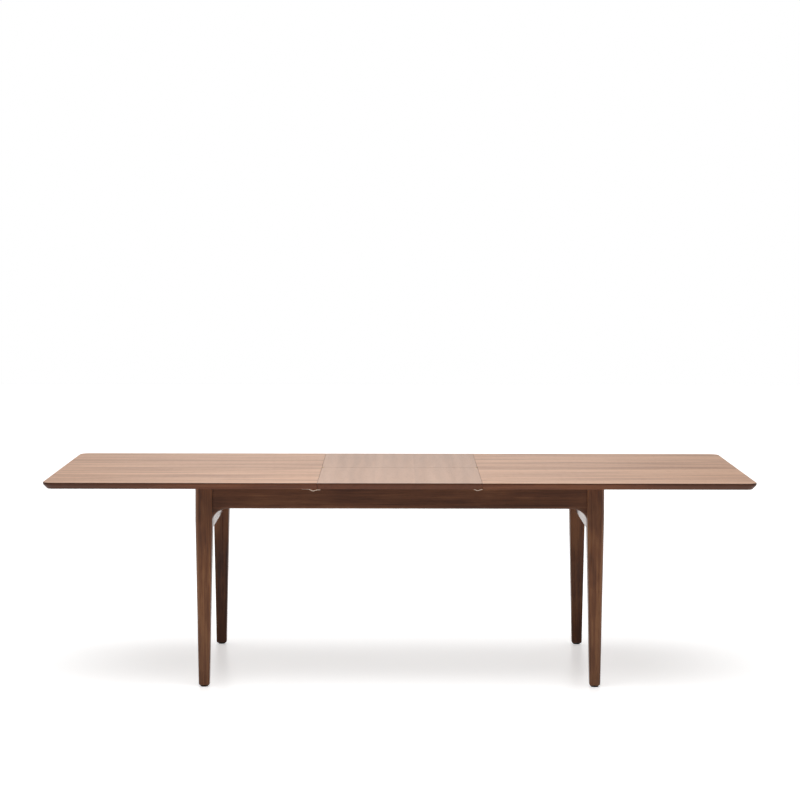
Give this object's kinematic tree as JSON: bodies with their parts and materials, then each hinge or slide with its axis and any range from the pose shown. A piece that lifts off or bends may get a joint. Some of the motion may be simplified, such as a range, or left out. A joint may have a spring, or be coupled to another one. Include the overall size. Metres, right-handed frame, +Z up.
{
  "type": "extending table",
  "caption": "Walnut dining table drawn out on runners, with a folding leaf between its end tops, tapered legs, eared rails and a lever that moves both tops alike.",
  "frame": {"origin": "on the floor under the middle of the table", "axes": "+X along the length, +Y away from the pictured side, +Z up"},
  "size_m": [2.6, 1, 0.76],
  "materials": {
    "walnut": "satin lacquered walnut",
    "beech": "plain planed beech",
    "zinc_steel": "zinc plated",
    "clip_metal": "pale spring metal",
    "hinge_brass": "satin brass",
    "glide_black": "black, matt",
    "strip_nylon": "off-white, matt"
  },
  "bodies": {
    "frame": {"front_rail": "walnut", "back_rail": "walnut", "left_end_rail": "walnut", "right_end_rail": "walnut", "leg_back_right": "walnut", "leg_back_left": "walnut", "leg_front_right": "walnut", "leg_front_left": "walnut", "corner_block_back_right": "beech", "corner_block_back_left": "beech", "corner_block_front_right": "beech", "corner_block_front_left": "beech", "bearer_left": "beech", "bearer_right": "beech", "spine_board": "beech", "guide_inner_front": "beech", "guide_inner_back": "beech", "guide_middle_front": "beech", "guide_middle_back": "beech", "guide_outer_front": "beech", "guide_outer_back": "beech", "hanger_bolts": "zinc_steel", "hanger_washers": "zinc_steel", "hanger_nuts": "zinc_steel", "guide_screws": "zinc_steel", "sync_pivot_bolt": "zinc_steel", "glide_back_right": "glide_black", "glide_back_left": "glide_black", "glide_front_right": "glide_black", "glide_front_left": "glide_black", "slide_strip_front": "strip_nylon", "slide_strip_back": "strip_nylon", "slide_strip_left": "strip_nylon", "slide_strip_right": "strip_nylon"},
    "sync_lever": {"sync_lever": "zinc_steel", "sync_lever_pins": "zinc_steel"},
    "rod_left": {"sync_rod_left": "zinc_steel"},
    "rod_right": {"sync_rod_right": "zinc_steel"},
    "top_left": {"left_top": "walnut", "left_runner_front": "beech", "left_runner_back": "beech", "left_link_bracket": "zinc_steel", "left_seam_clips": "clip_metal", "left_top_screws": "zinc_steel"},
    "top_right": {"right_top": "walnut", "right_runner_front": "beech", "right_runner_back": "beech", "right_link_bracket": "zinc_steel", "right_seam_clips": "clip_metal", "right_top_screws": "zinc_steel"},
    "leaf_back": {"leaf_back": "walnut", "leaf_hinge_plates_back": "hinge_brass", "leaf_hinge_screws_back": "hinge_brass"},
    "hinge_links": {"leaf_hinge_links": "hinge_brass"},
    "leaf_front": {"leaf_front": "walnut", "leaf_hinge_plates_front": "hinge_brass", "leaf_hinge_screws_front": "hinge_brass"}
  },
  "joints": [
    {"name": "extension", "type": "hinge", "parent": "frame", "child": "sync_lever", "pos_m": [0, 0, 0.6676], "axis": [0, 0, 1], "range_deg": [0, 59.42]},
    {"name": "rod_left_swing", "type": "hinge", "parent": "sync_lever", "child": "rod_left", "pos_m": [-0.305, 0, 0.6642], "axis": [0, 0, 1], "range_deg": [-118.86, 0]},
    {"name": "rod_right_swing", "type": "hinge", "parent": "sync_lever", "child": "rod_right", "pos_m": [0.305, 0, 0.6642], "axis": [0, 0, 1], "range_deg": [-118.86, 0]},
    {"name": "top_left_travel", "type": "hinge", "parent": "rod_left", "child": "top_left", "pos_m": [-0.61, 0, 0.6642], "axis": [0, 0, 1], "range_deg": [0, 59.43]},
    {"name": "top_right_travel", "type": "hinge", "parent": "rod_right", "child": "top_right", "pos_m": [0.61, 0, 0.6642], "axis": [0, 0, 1], "range_deg": [0, 59.43]},
    {"name": "leaf_lift", "type": "slide", "parent": "frame", "child": "leaf_back", "axis": [0, 0, 1], "range_m": [0, 0.3631]},
    {"name": "leaf_fold", "type": "hinge", "parent": "leaf_back", "child": "hinge_links", "pos_m": [0, 0.012, 0.7568], "axis": [-1, 0, 0], "range_deg": [0, 90]},
    {"name": "leaf_fold_front", "type": "hinge", "parent": "hinge_links", "child": "leaf_front", "pos_m": [0, -0.012, 0.7568], "axis": [-1, 0, 0], "range_deg": [0, 90.01]}
  ],
  "couplings": [
    {"joint": "rod_left_swing", "follows": "extension", "ratio": -2},
    {"joint": "rod_right_swing", "follows": "extension", "ratio": -2},
    {"joint": "top_left_travel", "follows": "extension", "ratio": 1},
    {"joint": "top_right_travel", "follows": "extension", "ratio": 1},
    {"joint": "leaf_lift", "follows": "extension", "m_per_rad": 0.35},
    {"joint": "leaf_fold_front", "follows": "leaf_fold", "ratio": 1}
  ]
}
